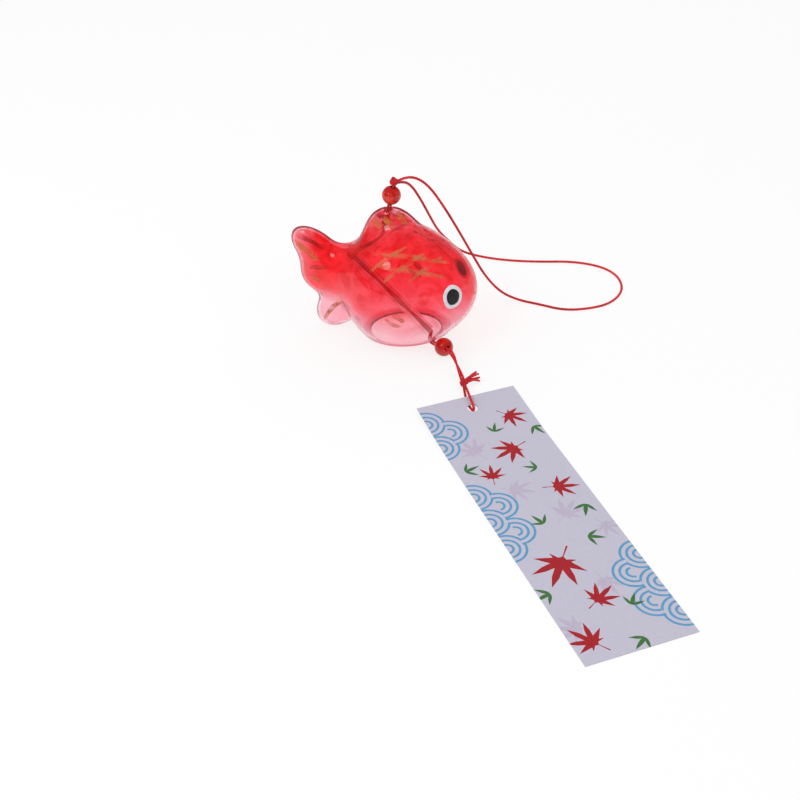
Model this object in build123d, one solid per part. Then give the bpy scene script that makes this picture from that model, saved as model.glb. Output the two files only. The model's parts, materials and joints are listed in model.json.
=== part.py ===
import os
from math import radians, sqrt, tan

from build123d import *

# Goldfish wind bell of blown glass, standing on its mouth, with its paper strip and its hanging
# loop laid out on the same surface. Millimetres. +X is the way the fish faces and +Z is up. The
# origin is on that surface, under the middle of the mouth.

# Glass: the bell in its own upright frame, with the mouth cut in the plane Z = 0
glass_wall = 1.3
body_half_length = 25.0
body_half_width = 22.6
body_half_height = 26.3
body_centre_height = 20.1
body_setback = 1.2
head_half_length = 16.5
head_half_width = 14.9
head_half_height = 16.5
dorsal_half_length = 10.95
dorsal_half_thickness = 5.0
dorsal_half_height = 11.7
root_half_length = 13.6
root_half_thickness = 9.0
root_half_height = 11.3
tail_half_thickness = 4.5
upper_lobe_half_length = 13.5
upper_lobe_half_height = 7.5
upper_lobe_pitch = 44.4
middle_lobe_half_length = 10.4
middle_lobe_half_height = 10.0
lower_lobe_half_length = 12.1
lower_lobe_half_height = 8.05
lower_lobe_pitch = -46.0
crease_radius = 3.0
cut_overrun = 3.0

# Where the swellings sit, as shares of the half sizes of what they grow from
head_shares = (0.532, 0.0)
dorsal_shares = (-0.116, 0.855)
root_shares = (-0.812, 0.167)
upper_lobe_shares = (-0.956, 0.84)
middle_lobe_shares = (-0.816, 0.088)
lower_lobe_shares = (-0.463, -1.18)

# Stance: the cord runs out under one side of the mouth, so the bell leans away from it
lean = 6.0
lean_azimuth = 138.0

# Cord: one red cord, doubled everywhere except in the hanging loop and where it ties the strip
cord_d = 1.0
doubled_cord_d = 1.9
knot_d = 3.4
running_gap = 0.3
arc_share = 0.45

# Top of the bell: hole, bead and knots on a neck of doubled cord that tilts towards the nose
cord_hole_d = 3.0
cord_hole_setback = 0.4
neck_tilt = 13.5
bead_d = 7.5
bead_bore = 2.1
bead_edge_radius = 0.25
top_bead_gap = 1.2
stopper_drop = 6.6

# Clapper: a glass tube on the doubled cord, from under the tail's root to just above the rim
tube_d = 4.2
tube_bore = 2.8
tube_lip_radius = 0.3
tube_head_shares = (-0.752, 0.071, 0.399)
tube_foot_shares = (0.44, -0.245, -0.64)

# Lower bead, outside the rim, threaded on the cord that rises through it
lower_bead_x = 16.6
lower_bead_y = -12.6
lower_bead_azimuth = -50.0
lower_bead_rise = 20.0
bead_lead = 5.2
swing_gap = 0.8

# Paper strip, laid on the surface with its top end lifted by the cord that passes under it
strip_width = 40.0
strip_length = 137.0
strip_thickness = 0.3
strip_lift = 1.9
strip_lift_run = 45.0
strip_hole_d = 4.0
strip_hole_inset = 6.8
strip_top_x = 30.1
strip_top_y = -41.7
strip_heading = -57.2
strip_knot_setback = 8.6
strip_knot_offset = 3.0
strip_knot_height = 2.3

# Cord routes, point by point. The hanging loop starts and ends in the top knot.
hanging_loop_route = [
    (-6.2, 4.3, 66.0),
    (-3.6, 6.3, 67.1),
    (0.6, 9.6, 66.0),
    (5.2, 12.6, 61.2),
    (10.3, 16.0, 51.5),
    (16.0, 19.8, 39.0),
    (21.5, 23.4, 26.2),
    (26.8, 26.9, 14.2),
    (33.0, 31.0, 4.6),
    (40.5, 32.6, 0.6),
    (50.0, 31.0, 0.6),
    (60.0, 28.6, 0.6),
    (70.0, 31.5, 0.6),
    (79.0, 37.4, 0.6),
    (83.6, 48.6, 0.6),
    (80.8, 60.0, 0.6),
    (73.0, 66.8, 0.6),
    (60.0, 68.6, 0.6),
    (45.0, 65.2, 0.6),
    (31.0, 63.7, 0.6),
    (19.5, 64.6, 0.6),
    (11.0, 63.0, 3.2),
    (6.6, 55.0, 12.6),
    (3.5, 44.6, 23.4),
    (1.3, 35.5, 35.6),
    (-0.9, 26.6, 47.8),
    (-2.9, 18.4, 57.6),
    (-4.6, 10.6, 63.2),
    (-6.2, 5.5, 64.9),
]
# From the stopper knot down to the knot on the tube's head, in the bell's upright frame
inner_cord_route = [
    (-6.1, 0.0, 47.0),
    (-7.4, 0.3, 42.6),
    (-11.6, 0.9, 38.6),
    (-16.6, 1.5, 36.0),
    (-19.9, 1.8, 33.7),
]
# From the tube's foot down and out under the rim, up to the lower bead
rim_cord_route = [
    (9.8, -5.5, 4.8),
    (10.0, -6.4, 1.35),
]
# From the lower bead to the knot above the strip
strip_cord_route = [
    (21.4, -19.1, 5.1),
    (23.7, -23.6, 3.9),
    (26.0, -28.3, 2.9),
]
cord_tail_routes = [
    [(29.4, -31.0, 3.2), (30.9, -28.5, 3.4), (32.1, -26.4, 2.6)],
    [(29.8, -31.3, 2.4), (31.5, -29.4, 1.9), (33.2, -27.8, 1.2)],
]
# Once round the strip's end, as (distance down the strip, distance across it, height)
strip_loop_route = [
    (-6.5, 2.5, 2.9),
    (-3.2, 1.9, 3.2),
    (0.4, 1.3, 3.2),
    (4.0, 0.7, 2.9),
    (7.7, 0.2, 2.55),
    (7.7, 0.0, 0.65),
    (4.0, -0.2, 0.62),
    (0.4, 0.3, 0.8),
    (-3.2, 1.2, 1.3),
    (-6.6, 2.2, 1.7),
]

body_x = -body_setback
body_z = body_centre_height


def placed_from(x, z, half_length, half_height, shares):
    """A place in the fish's middle plane, offset from (x, z) by shares of two half sizes."""
    return x + shares[0] * half_length, z + shares[1] * half_height


body = body_x, body_z, body_half_length, body_half_height
root_x, root_z = placed_from(*body, root_shares)
root = root_x, root_z, root_half_length, root_half_height
dorsal_x, dorsal_z = placed_from(*body, dorsal_shares)

# Every swelling of the fish: its place, its half sizes and its pitch
swellings = [
    ((body_x, body_z), (body_half_length, body_half_width, body_half_height), 0),
    (placed_from(*body, head_shares), (head_half_length, head_half_width, head_half_height), 0),
    ((root_x, root_z), (root_half_length, root_half_thickness, root_half_height), 0),
    ((dorsal_x, dorsal_z), (dorsal_half_length, dorsal_half_thickness, dorsal_half_height), 0),
    (
        placed_from(*root, upper_lobe_shares),
        (upper_lobe_half_length, tail_half_thickness, upper_lobe_half_height),
        upper_lobe_pitch,
    ),
    (
        placed_from(*root, middle_lobe_shares),
        (middle_lobe_half_length, tail_half_thickness, middle_lobe_half_height),
        0,
    ),
    (
        placed_from(*root, lower_lobe_shares),
        (lower_lobe_half_length, tail_half_thickness, lower_lobe_half_height),
        lower_lobe_pitch,
    ),
]


def fish_form(inset):
    """The fish as one rounded solid, drawn in by inset all over, with softened creases."""
    form = None
    for (x, z), half_sizes, pitch in swellings:
        drawn_in = tuple(half - inset for half in half_sizes)
        swelling = Pos(x, 0, z) * Rot(0, pitch, 0) * scale(Sphere(1), by=drawn_in)
        form = swelling if form is None else form + swelling
    return fillet(form.edges(), crease_radius)


def column(diameter, start, end):
    """A round bar along Z between two heights."""
    bar = Cylinder(diameter / 2, end - start, align=(Align.CENTER, Align.CENTER, Align.MIN))
    return Pos(0, 0, start) * bar


def bead():
    """A round bead, bored along Z, with softened bore edges."""
    bored = Sphere(bead_d / 2) - column(bead_bore, -bead_d, bead_d)
    return fillet(bored.edges().filter_by(GeomType.CIRCLE), bead_edge_radius)


def cord_tube(name, points, diameter):
    """A cord along straight runs joined by the largest arcs that they leave room for."""
    points = [Vector(*point) for point in points]
    runs = [after - before for before, after in zip(points, points[1:])]
    radii = []
    for run, next_run in zip(runs, runs[1:]):
        half_turn = radians(run.get_angle(next_run)) / 2
        radii.append(arc_share * min(run.length, next_run.length) / tan(half_turn))
    path = FilletPolyline(*points, radius=radii)
    section = Plane(origin=path @ 0, z_dir=path % 0) * Circle(diameter / 2)
    tube = sweep(section, path=path)
    fullness = tube.volume / (section.area * path.length)
    print(name, "length", round(path.length, 1), "volume over section times length", round(fullness, 4))
    print("  radii", [round(radius, 1) for radius in radii])
    return tube


def moved(location, points):
    """Points carried along by a location."""
    return [tuple((location * Pos(*point)).position) for point in points]


# Bell, leaned until the low side of its rim meets the surface
hole_x = dorsal_x - cord_hole_setback
hole_z = dorsal_z + dorsal_half_height * sqrt(1 - (cord_hole_setback / dorsal_half_length) ** 2)
neck_in_bell = Pos(hole_x, 0, hole_z) * Rot(0, neck_tilt, 0)
cord_hole = neck_in_bell * column(cord_hole_d, -glass_wall - cut_overrun, cut_overrun)
overall = 2 * (body_half_length + root_half_length + upper_lobe_half_length)
below_mouth = Pos(0, 0, -overall / 2) * Box(overall, overall, overall)
upright_bell = fish_form(0) - fish_form(glass_wall) - below_mouth - cord_hole

tilt = Rot(0, 0, lean_azimuth) * Rot(0, lean, 0) * Rot(0, 0, -lean_azimuth)
stance = Pos(0, 0, -(tilt * upright_bell).bounding_box().min.Z) * tilt
glass_bell = stance * upright_bell

# Neck: the stopper knot inside, the bead and the top knot above the hole
neck = stance * neck_in_bell
top_bead_height = top_bead_gap + bead_d / 2
top_knot_height = top_bead_height + bead_d / 2 + running_gap + knot_d / 2
top_bead = neck * Pos(0, 0, top_bead_height) * bead()
top_knot = neck * Pos(0, 0, top_knot_height) * Sphere(knot_d / 2)
stopper_knot = neck * Pos(0, 0, -stopper_drop) * Sphere(knot_d / 2)
neck_end = top_knot_height - knot_d / 2 - running_gap
neck_cord = neck * column(doubled_cord_d, -stopper_drop, neck_end) - stopper_knot
hanging_loop = cord_tube("hanging_loop", hanging_loop_route, cord_d) - top_knot

# Clapper: the tube, the cord in it and the knot at its head
tube_ends = []
for share_x, share_y, share_z in (tube_head_shares, tube_foot_shares):
    end_x = body_x + share_x * body_half_length
    end_z = body_z + share_z * body_half_height
    tube_ends.append((stance * Pos(end_x, share_y * body_half_width, end_z)).position)
tube_head, tube_foot = tube_ends
tube_length = (tube_foot - tube_head).length
clapper = Plane(origin=tube_head, z_dir=tube_foot - tube_head).location
open_tube = column(tube_d, 0, tube_length) - column(tube_bore, -cut_overrun, tube_length + cut_overrun)
clapper_tube = clapper * fillet(open_tube.edges().filter_by(GeomType.CIRCLE), tube_lip_radius)
tube_knot_height = -running_gap - knot_d / 2
tube_knot = clapper * Pos(0, 0, tube_knot_height) * Sphere(knot_d / 2)
tube_cord = clapper * column(doubled_cord_d, tube_knot_height, tube_length) - tube_knot
inner_cord = cord_tube("inner_cord", moved(stance, inner_cord_route), doubled_cord_d) - stopper_knot

# Lower bead, on the line on which the cord rises through it
lower_bead_place = (
    Pos(lower_bead_x, lower_bead_y, bead_d / 2)
    * Rot(0, 0, lower_bead_azimuth)
    * Rot(0, 90 - lower_bead_rise, 0)
)
lower_bead = lower_bead_place * bead()
bead_way = moved(lower_bead_place, [(0, 0, -bead_lead), (0, 0, bead_d / 2), (0, 0, bead_d / 2 + swing_gap)])
rim_cord = cord_tube("rim_cord", rim_cord_route + bead_way[:2], doubled_cord_d)

# Paper strip: its top end rises in one long arc, and the rest lies flat
strip_place = Pos(strip_top_x, strip_top_y, 0) * Rot(0, 0, strip_heading)
bend_radius = (strip_lift_run ** 2 + strip_lift ** 2) / (2 * strip_lift)
inner_share = (bend_radius - strip_thickness) / bend_radius
lifted_edge = (strip_lift_run * (1 - inner_share), bend_radius - (bend_radius - strip_lift) * inner_share)
strip_outline = Curve() + [
    Line((strip_length, 0), (strip_lift_run, 0)),
    TangentArc((strip_lift_run, 0), (0, strip_lift), tangent=(-1, 0)),
    Line((0, strip_lift), lifted_edge),
    TangentArc((strip_lift_run, strip_thickness), lifted_edge, tangent=(-1, 0)),
    Line((strip_lift_run, strip_thickness), (strip_length, strip_thickness)),
    Line((strip_length, strip_thickness), (strip_length, 0)),
]
strip_sheet = extrude(Plane.XZ * make_face(strip_outline), amount=strip_width / 2, both=True)
strip_hole = Pos(strip_hole_inset, 0, 0) * column(strip_hole_d, -cut_overrun, strip_lift + cut_overrun)
paper_strip = strip_place * (strip_sheet - strip_hole)

# Strip's cord: from the bead to a knot with loose tails, and once round through the hole
knot_spot = (-strip_knot_setback, strip_knot_offset, strip_knot_height)
strip_knot_place = moved(strip_place, [knot_spot])[0]
strip_knot = Pos(*strip_knot_place) * Sphere(knot_d / 2)
strip_way = bead_way[2:] + strip_cord_route + [strip_knot_place]
strip_cord = cord_tube("strip_cord", strip_way, doubled_cord_d) - strip_knot
strip_loop = cord_tube("strip_loop", moved(strip_place, strip_loop_route), cord_d)
tails = []
for route in cord_tail_routes:
    tail = cord_tube("cord_tail", [strip_knot_place] + route, cord_d) - strip_knot - strip_cord
    tails.append(tail.solid())
cord_tails = Compound(tails)

pieces = {
    "glass_bell": glass_bell,
    "top_bead": top_bead,
    "top_knot": top_knot,
    "hanging_loop": hanging_loop,
    "neck_cord": neck_cord,
    "stopper_knot": stopper_knot,
    "inner_cord": inner_cord,
    "clapper_tube": clapper_tube,
    "tube_knot": tube_knot,
    "tube_cord": tube_cord,
    "rim_cord": rim_cord,
    "lower_bead": lower_bead,
    "strip_cord": strip_cord,
    "strip_knot": strip_knot,
    "cord_tails": cord_tails,
    "strip_loop": strip_loop,
    "paper_strip": paper_strip,
}
os.makedirs("parts", exist_ok=True)
for node, piece in pieces.items():
    export_step(piece, os.path.join("parts", node + ".step"))

# Where the joints and mounts are
for name, place in {
    "top_bead": neck * Pos(0, 0, top_bead_height),
    "top_knot": neck * Pos(0, 0, top_knot_height),
    "clapper": clapper,
    "lower_bead": lower_bead_place,
    "bead_way_out": lower_bead_place * Pos(0, 0, bead_d / 2),
    "strip_knot": strip_place * Pos(*knot_spot),
}.items():
    axis = Plane(place).z_dir
    print(name, [round(value, 3) for value in place.position], "axis", [round(value, 4) for value in axis])
print("tube length", round(tube_length, 1))
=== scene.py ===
"""Looks of the goldfish wind bell: blown glass, paint, beads, cord and printed paper strip."""

import json
from math import ceil, cos, pi, radians, sin

import bpy
import numpy as np
import openvdb
from mathutils import Matrix, Vector
from mathutils.geometry import delaunay_2d_cdt


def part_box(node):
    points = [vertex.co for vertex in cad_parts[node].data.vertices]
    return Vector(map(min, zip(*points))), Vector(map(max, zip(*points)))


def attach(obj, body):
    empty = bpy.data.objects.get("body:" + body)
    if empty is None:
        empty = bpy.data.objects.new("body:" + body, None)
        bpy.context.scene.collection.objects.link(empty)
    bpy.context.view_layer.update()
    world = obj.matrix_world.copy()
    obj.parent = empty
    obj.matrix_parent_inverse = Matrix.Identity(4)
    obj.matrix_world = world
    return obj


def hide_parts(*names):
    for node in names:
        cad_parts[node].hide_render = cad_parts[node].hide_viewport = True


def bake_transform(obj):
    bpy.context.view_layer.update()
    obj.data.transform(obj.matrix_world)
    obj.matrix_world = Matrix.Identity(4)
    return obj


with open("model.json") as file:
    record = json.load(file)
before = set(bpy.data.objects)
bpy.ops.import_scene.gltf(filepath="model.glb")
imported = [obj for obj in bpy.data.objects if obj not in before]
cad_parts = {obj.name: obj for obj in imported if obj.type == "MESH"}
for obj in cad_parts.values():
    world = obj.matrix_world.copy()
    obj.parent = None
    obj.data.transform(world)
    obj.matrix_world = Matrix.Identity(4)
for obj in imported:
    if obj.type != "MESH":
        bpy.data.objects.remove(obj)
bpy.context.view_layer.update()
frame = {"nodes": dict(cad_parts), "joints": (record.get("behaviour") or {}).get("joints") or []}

# Sizes are in millimetres, in the row frame, unless a heading says otherwise
MM = 0.001

# Glass fish, upright on its mouth at Z = 0: centre (x, z), half sizes, pitch in degrees
GLASS_WALL = 1.3
BODY = ((-1.2, 20.1), (25.0, 22.6, 26.3), 0)
HEAD = ((12.1, 20.1), (16.5, 14.9, 16.5), 0)
ROOT = ((-21.5, 24.5), (13.6, 9.0, 11.3), 0)
DORSAL = ((-4.1, 42.6), (10.95, 5.0, 11.7), 0)
TAIL_LOBES = [
    ((-34.5, 34.0), (13.5, 4.5, 7.5), 44.4),
    ((-32.6, 25.5), (10.4, 4.5, 10.0), 0),
    ((-27.8, 11.2), (12.1, 4.5, 8.05), -46.0),
]
HEAD_FILLET, ROOT_FILLET, DORSAL_FILLET, TAIL_FILLET = 6.0, 7.0, 6.0, 5.0
RIM_ROUNDING = 0.7
LIP_RADIUS, LIP_HEIGHT, LIP_FILLET, LIP_BACK = 0.9, 1.15, 0.3, -20.0
HOLE_PLACE, HOLE_TILT, HOLE_RADIUS, HOLE_FOOT = (-4.5, 54.3), 13.5, 1.5, 46.0
HOLE_ROUNDING = 0.4
GRID_LOW, GRID_HIGH, GRID_STEP = (-49.0, -24.0, -1.6), (30.4, 24.0, 56.4), 0.5
LEAN, LEAN_AZIMUTH = 6.0, 138.0
BEAD_ON_NECK = 4.95
TINY_SLOPE, LEAST_SQUARED_SLOPE = 1e-6, 0.05

# Red glass, in metres as shaders have it: tints by height, as shares of TINT_REACH
TINT_REACH = 0.06
GLASS_TINTS = [
    (0.0, (1.0, 0.66, 0.73)),
    (0.12, (1.0, 0.60, 0.67)),
    (0.19, (1.0, 0.46, 0.53)),
    (0.26, (1.0, 0.31, 0.37)),
    (0.36, (1.0, 0.145, 0.185)),
    (0.50, (1.0, 0.11, 0.14)),
    (0.60, (1.0, 0.13, 0.165)),
    (0.68, (1.0, 0.17, 0.205)),
    (0.75, (1.0, 0.24, 0.28)),
    (0.81, (1.0, 0.44, 0.50)),
    (0.90, (1.0, 0.60, 0.66)),
]
STREAK_SCALE, STREAK_SWAY = (34, 70, 70), 0.01
WISP_TINT, WISP_NOISE, WISP_HEIGHTS = (0.88, 0.22, 0.27), (0.46, 0.64), (0.016, 0.028)
PALE_TINT, LOBE_X, LOBE_HEIGHTS = (1.0, 0.70, 0.76), (-0.024, -0.032), (0.019, 0.011)
TIPS_X, TIPS_PALENESS = (-0.037, -0.047), 0.6
RIM_TINT, RIM_HEIGHTS = (0.74, 0.10, 0.17), (0.0018, 0.0008)
GLASS_HAZE = 0.09

# Paint on the glass, in the same upright frame as the fish
EYE_PLACE = (21.5, -13.3, 22.8)
EYE_RADIUS, PUPIL_RADIUS, EYE_STRETCH = 4.6, 3.4, 1.08
WHITE_BORE, PUPIL_BORE = 0.9 * PUPIL_RADIUS, 0.02
EYE_RINGS, EYE_SPOKES, EYE_EDGE = 9, 64, 8
THREE_WAVES, FIVE_WAVES = 0.015, 0.01
WHITE_HEIGHT, PUPIL_HEIGHT, STROKE_HEIGHT = 0.12, 0.2, 0.1
PAINT_SEAT, PAINT_ROOT = 0.01, 0.06
PAINT_POOLS = (0.36, 0.62)

# Brush strokes: start, middle, end and half width
STROKE_STEPS, STROKE_COLUMNS, STROKE_EDGE, STROKE_RISE = 28, 7, 4, 8
STROKE_TAPER, STROKE_TIP, STROKE_WAVER, STROKE_WAVES = 0.32, 0.02, 0.12, 9
NEAR_STROKES = [
    ((-34.6, -2.4, 4.4), (-30.2, -4.8, 11.0), (-25.6, -9.0, 15.4), 0.9),
]
STROKES = [
    ((-44.0, -2.3, 39.8), (-38.7, -4.3, 36.4), (-34.0, -5.3, 32.6), 1.1),
    ((-40.4, -3.0, 25.0), (-37.0, -4.8, 24.6), (-33.8, -5.8, 23.6), 0.9),
    ((-10.4, -2.4, 50.3), (-9.2, -4.0, 49.0), (-7.6, -5.1, 47.2), 1.3),
    ((-6.2, -3.2, 51.3), (-4.3, -4.6, 49.6), (-2.2, -5.5, 47.6), 1.3),
    ((-1.6, -2.0, 53.0), (0.6, -3.0, 51.0), (2.9, -3.7, 48.5), 1.3),
    ((-1.0, -22.6, 19.4), (1.2, -22.4, 17.4), (3.4, -21.9, 15.4), 1.1),
    ((-3.8, -22.3, 17.0), (-1.6, -22.0, 14.4), (1.8, -21.8, 13.4), 0.9),
]
FLANK_STROKES = [
    ((-9.0, -13.0, 40.1), (5.5, -13.8, 39.7), (20.4, -7.1, 34.3), 1.0),
    ((-7.6, -16.6, 36.7), (5.9, -17.2, 35.4), (19.0, -12.0, 30.6), 1.0),
    ((4.0, -10.7, 42.6), (-3.0, -14.6, 39.0), (-10.2, -17.4, 34.2), 0.9),
    ((10.8, -10.4, 39.9), (3.4, -16.4, 36.6), (-4.2, -20.2, 31.6), 0.9),
    ((16.8, -7.4, 37.3), (11.4, -14.6, 35.2), (5.4, -19.4, 31.6), 0.8),
]

# Cord: one red cord of three plies, doubled between the top knot and the strip
CORD_RADIUS = 0.55
STRAND_RADIUS = 0.5
CORD_LAY = 3.4
PAIR_LAY = 36.0
PLIES, PLY_RADIUS_SHARE, PLY_OFFSET_SHARE = 3, 0.56, 0.44
CORD_STEP, SHORT_STEP, TIE_STEP, FEWEST_STEPS = 0.3, 0.25, 0.2, 4
SIDE_GUIDE = (0.3, 0.2, 1.0)
KNOT_RADIUS, KNOT_STRAND, KNOT_STEPS = 1.8, 0.68, 120
KNOT_RISE, KNOT_SHIFTS, TREFOIL_REACH = 0.36, (-0.2, 0.2), 3.0
STOPPER_TURN, CLAPPER_TURN, STRIP_PAIR_TURN = 1.0, 2.0, 0.6
LEAVING_POINT, KNOT_APPROACH, CORD_END_TRIM, TIE_END_TRIM = 8, 6, 3, 5
FRAY_TWIST, FRAY_UNTWIST, FRAY_START, FRAY_GROWTH = 7, 0.45, 0.55, 1.5
FRAY_SPREAD, FRAY_FLARE, FRAY_PLY_SHARE, FRAY_SIDES = 0.6, 0.8, 0.8, 12
HANGING_LOOP = [
    (-6.2, 4.3, 66.0), (-3.6, 6.3, 67.1), (0.6, 9.6, 66.0), (5.2, 12.6, 61.2), (10.3, 16.0, 51.5),
    (16.0, 19.8, 39.0), (21.5, 23.4, 26.2), (26.8, 26.9, 14.2), (33.0, 31.0, 4.6), (40.5, 32.6, 0.6),
    (50.0, 31.0, 0.6), (60.0, 28.6, 0.6), (70.0, 31.5, 0.6), (79.0, 37.4, 0.6), (83.6, 48.6, 0.6),
    (80.8, 60.0, 0.6), (73.0, 66.8, 0.6), (60.0, 68.6, 0.6), (45.0, 65.2, 0.6), (31.0, 63.7, 0.6),
    (19.5, 64.6, 0.6), (11.0, 63.0, 3.2), (6.6, 55.0, 12.6), (3.5, 44.6, 23.4), (1.3, 35.5, 35.6),
    (-0.9, 26.6, 47.8), (-2.9, 18.4, 57.6), (-4.6, 10.6, 63.2), (-6.2, 5.5, 64.9),
]
INNER_CORD = [
    (-6.1, 0.0, 47.0), (-7.4, 0.3, 42.6), (-11.6, 0.9, 38.6), (-16.6, 1.5, 36.0), (-19.9, 1.8, 33.7),
]
RIM_CORD = [(9.8, -5.5, 4.8), (10.0, -6.4, 1.35)]
STRIP_CORD = [(21.4, -19.1, 5.1), (23.7, -23.6, 3.9), (26.0, -28.3, 2.9)]
CORD_TAILS = [
    [(29.4, -31.0, 3.2), (30.9, -28.5, 3.4), (32.1, -26.4, 2.6)],
    [(29.8, -31.3, 2.4), (31.5, -29.4, 1.9), (33.2, -27.8, 1.2)],
]
STRIP_LOOP = [
    (-6.5, 2.5, 2.9), (-3.2, 1.9, 3.2), (0.4, 1.3, 3.2), (4.0, 0.7, 2.9), (7.7, 0.2, 2.55),
    (7.7, 0.0, 0.65), (4.0, -0.2, 0.62), (0.4, 0.3, 0.8), (-3.2, 1.2, 1.3), (-6.6, 2.2, 1.7),
]
BEAD_LEAD = 5.2
BEAD_RADIUS = 3.75

# Paper strip: place of its top edge's middle, heading in degrees, sizes
STRIP_TOP, STRIP_HEADING = (30.1, -41.7), -57.2
STRIP_WIDTH, STRIP_LENGTH, STRIP_THICKNESS = 40.0, 137.0, 0.3
STRIP_LIFT, STRIP_LIFT_RUN = 1.9, 45.0
STRIP_HOLE_RADIUS, STRIP_HOLE_INSET, HOLE_SIDES = 2.0, 6.8, 40
SHEET_ROWS, SHEET_COLUMNS, SAME_PLACE = 47, 13, 1e-5

# Print on the strip: each motif's place down and across it, size and turn in degrees
GHOST_LEAVES = [
    (30, -9, 9, 200), (54, -5, 8.5, 60), (72, 6, 9, 130),
    (106, 3, 8, 10), (122, -15, 9, 250), (82, 16, 7, 20),
]
RED_LEAVES = [
    (15, 11, 8, 40), (33, 5, 9.5, 290), (45, -9, 7, 165), (58, 10, 8.5, 75),
    (93, -6, 13, 320), (113, -3, 8.5, 120), (129, -13, 9.5, 215),
]
SPRIGS = [
    (22, 2, 5.4, 150), (24, 17, 6, 20), (39, -17, 6.2, 100), (46, 8, 5.4, 240), (70, 15, 6.6, 330),
    (74, -3, 6, 200), (85, 8, 6.4, 60), (105, -16, 6.6, 280), (119, 6, 5.8, 140), (133, 3, 6.4, 300),
]

# Shores of waves: the edge that they stand on, the way they bulge and their places down the strip
SHORES = [(-20, 90, (10, 24)), (-20, 90, (53, 67, 81)), (20, 270, (99, 113, 127))]
WAVE_SIZE, WAVE_INWARD, WAVE_RINGS, WAVE_LINE = 7, 6.4, (1.0, 0.68, 0.36), 0.13
RING_SPAN, RING_STEPS = 190, 28

# Outline of a leaf: (angle from its tip in degrees, reach) of its points and stem
LEAF_TIPS = [(0, 1.0), (40, 0.92), (80, 0.72), (118, 0.42)]
LEAF_STEM = [(176, 0.2), (177.5, 0.62)]
SHOULDER_ANGLE, SHOULDER_SHARE, NOTCH, LAST_NOTCH, LAST_TURN = 9, 0.62, 0.30, 0.16, 40
BLADE_STEPS, BLADE_WIDTH, BLADE_FULLNESS = 8, 0.12, 0.7
SPRIG_BLADES = ((-50, 0.85), (3, 1.0), (52, 0.8))

# Inks by their place in the strip's list of materials
PLAIN, RED, BLUE, GREEN, GHOST = range(5)

# Floor: size in metres, grey of its own and share of white that the eye sees
FLOOR_SIZE, FLOOR_GREY, FLOOR_WHITE = 8.0, 0.9, 0.78

# Strength of the white surroundings, for soft light and as seen in the glass
SKY, MIRRORED_SKY = 0.72, 0.3

# Lamps: name, place, diameter, watts, and whether gloss shows them
LAMPS = [
    ("key", (-420, -260, 620), 640, 1.7, False),
    ("fill", (520, -380, 520), 900, 0.9, False),
    ("back", (60, 560, 520), 900, 0.6, False),
    ("glint", (-300, -420, 520), 170, 0.5, True),
]
LAMP_TARGET = (10, -30, 20)

# Camera at the photograph's viewpoint
CAMERA_PLACE, CAMERA_TARGET, CAMERA_ANGLE = (89.8, -463.7, 317.9), (5.5, -45.7, 0.0), 32.06

joints = {joint["name"]: joint for joint in frame["joints"]}


def joint_place(name):
    """A joint's place in millimetres."""
    return Vector(joints[name]["pos_m"]) / MM


def joint_axis(name):
    """A joint's axis, of length one."""
    return Vector(joints[name]["axis"]).normalized()


def node_centre(node):
    """The middle of a CAD node's box, in millimetres."""
    low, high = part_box(node)
    return (low + high) / 2 / MM


# Stance of the leaning bell: the upright frame's turn and lift in the row frame
tilt = (
    Matrix.Rotation(radians(LEAN_AZIMUTH), 3, "Z")
    @ Matrix.Rotation(radians(LEAN), 3, "Y")
    @ Matrix.Rotation(radians(-LEAN_AZIMUTH), 3, "Z")
)
neck_turn = Matrix.Rotation(radians(HOLE_TILT), 3, "Y")
bead_in_bell = Vector((HOLE_PLACE[0], 0, HOLE_PLACE[1])) + neck_turn @ Vector((0, 0, BEAD_ON_NECK))
lift = joint_place("top_bead_spin").z - (tilt @ bead_in_bell).z
tilt_array = np.array(tilt)


def stand(points):
    """Points of the upright bell, carried into the row frame."""
    return np.asarray(points, float) @ tilt_array.T + (0, 0, lift)


# Shader graphs

def node_tools(tree):
    """Ways to add a node with its settings and to link two sockets, as (add, link)."""

    def add(kind, **settings):
        node = tree.nodes.new(kind)
        for key, value in settings.items():
            setattr(node, key, value)
        return node

    return add, tree.links.new


def new_material(name):
    """A node material with only its output, as (material, add, link, surface socket)."""
    material = bpy.data.materials.new(name)
    material.use_nodes = True
    material.node_tree.nodes.clear()
    add, link = node_tools(material.node_tree)
    return material, add, link, add("ShaderNodeOutputMaterial").inputs["Surface"]


def set_inputs(node, values):
    """A node with fixed values on its inputs, by their names or numbers."""
    for name, value in values.items():
        node.inputs[name].default_value = value
    return node


def noise(add, link, vector, **values):
    """A noise texture over a vector socket, as its value socket."""
    node = set_inputs(add("ShaderNodeTexNoise"), values)
    link(vector, node.inputs["Vector"])
    return node.outputs["Fac"]


def fade(add, link, value, ends, low=0.0, high=1.0):
    """A socket that runs from low to high as value runs between its ends."""
    node = set_inputs(add("ShaderNodeMapRange"), {
        "From Min": ends[0], "From Max": ends[1], "To Min": low, "To Max": high,
    })
    link(value, node.inputs["Value"])
    return node.outputs[0]


def reckon(add, link, operation, first, second, **settings):
    """The result of a math operation on two sockets."""
    node = add("ShaderNodeMath", operation=operation, **settings)
    link(first, node.inputs[0])
    link(second, node.inputs[1])
    return node.outputs[0]


def ramp(add, link, value, stops):
    """A colour ramp of (position, (r, g, b)) stops over a value socket, as its colour socket."""
    node = add("ShaderNodeValToRGB")
    elements = node.color_ramp.elements
    while len(elements) > 1:
        elements.remove(elements[-1])
    for index, (position, colour) in enumerate(stops):
        element = elements[0] if index == 0 else elements.new(position)
        element.position = position
        element.color = (*colour, 1)
    link(value, node.inputs["Fac"])
    return node.outputs["Color"]


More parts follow.
